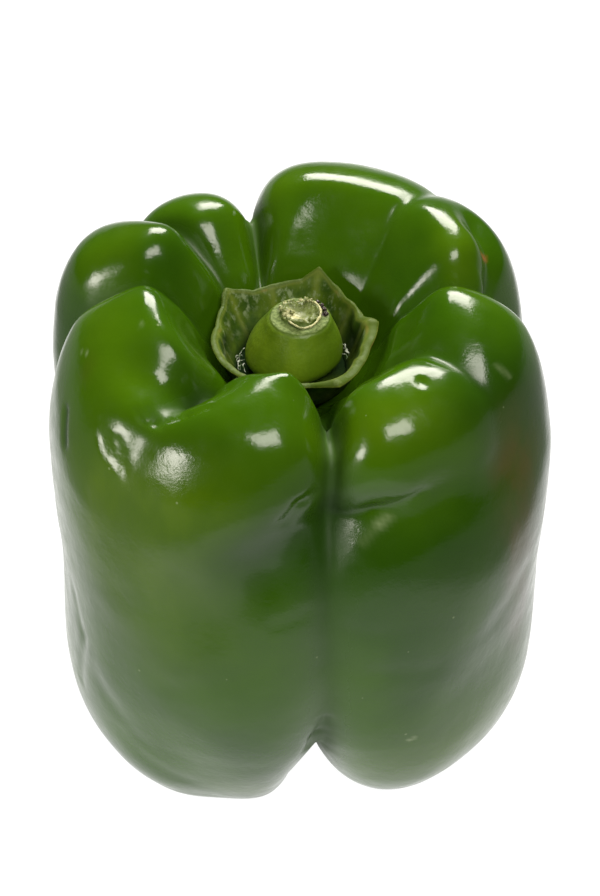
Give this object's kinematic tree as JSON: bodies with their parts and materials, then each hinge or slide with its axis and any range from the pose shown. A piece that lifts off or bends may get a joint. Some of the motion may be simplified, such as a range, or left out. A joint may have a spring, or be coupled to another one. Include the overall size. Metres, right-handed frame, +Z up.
{
  "type": "bell pepper",
  "caption": "Large blocky bell pepper, standing upright on its lobes, with deep furrows, a leafy calyx cup in the top hollow and a short torn stem stub.",
  "frame": {"origin": "on the surface that the pepper stands on, under the middle of its box", "axes": "+Z up through the stem; -Y is the front, the side with the deep furrow and the pinched waist"},
  "size_m": [0.0884, 0.0908, 0.1022],
  "materials": {
    "skin": "waxy gloss, deep green, a little uneven",
    "leaf": "dull leafy green with a paler edge",
    "stalk": "satin yellow-green with a pale torn end"
  },
  "bodies": {
    "root": {"fruit": "skin", "calyx": "leaf", "stem": "stalk"}
  },
  "joints": []
}
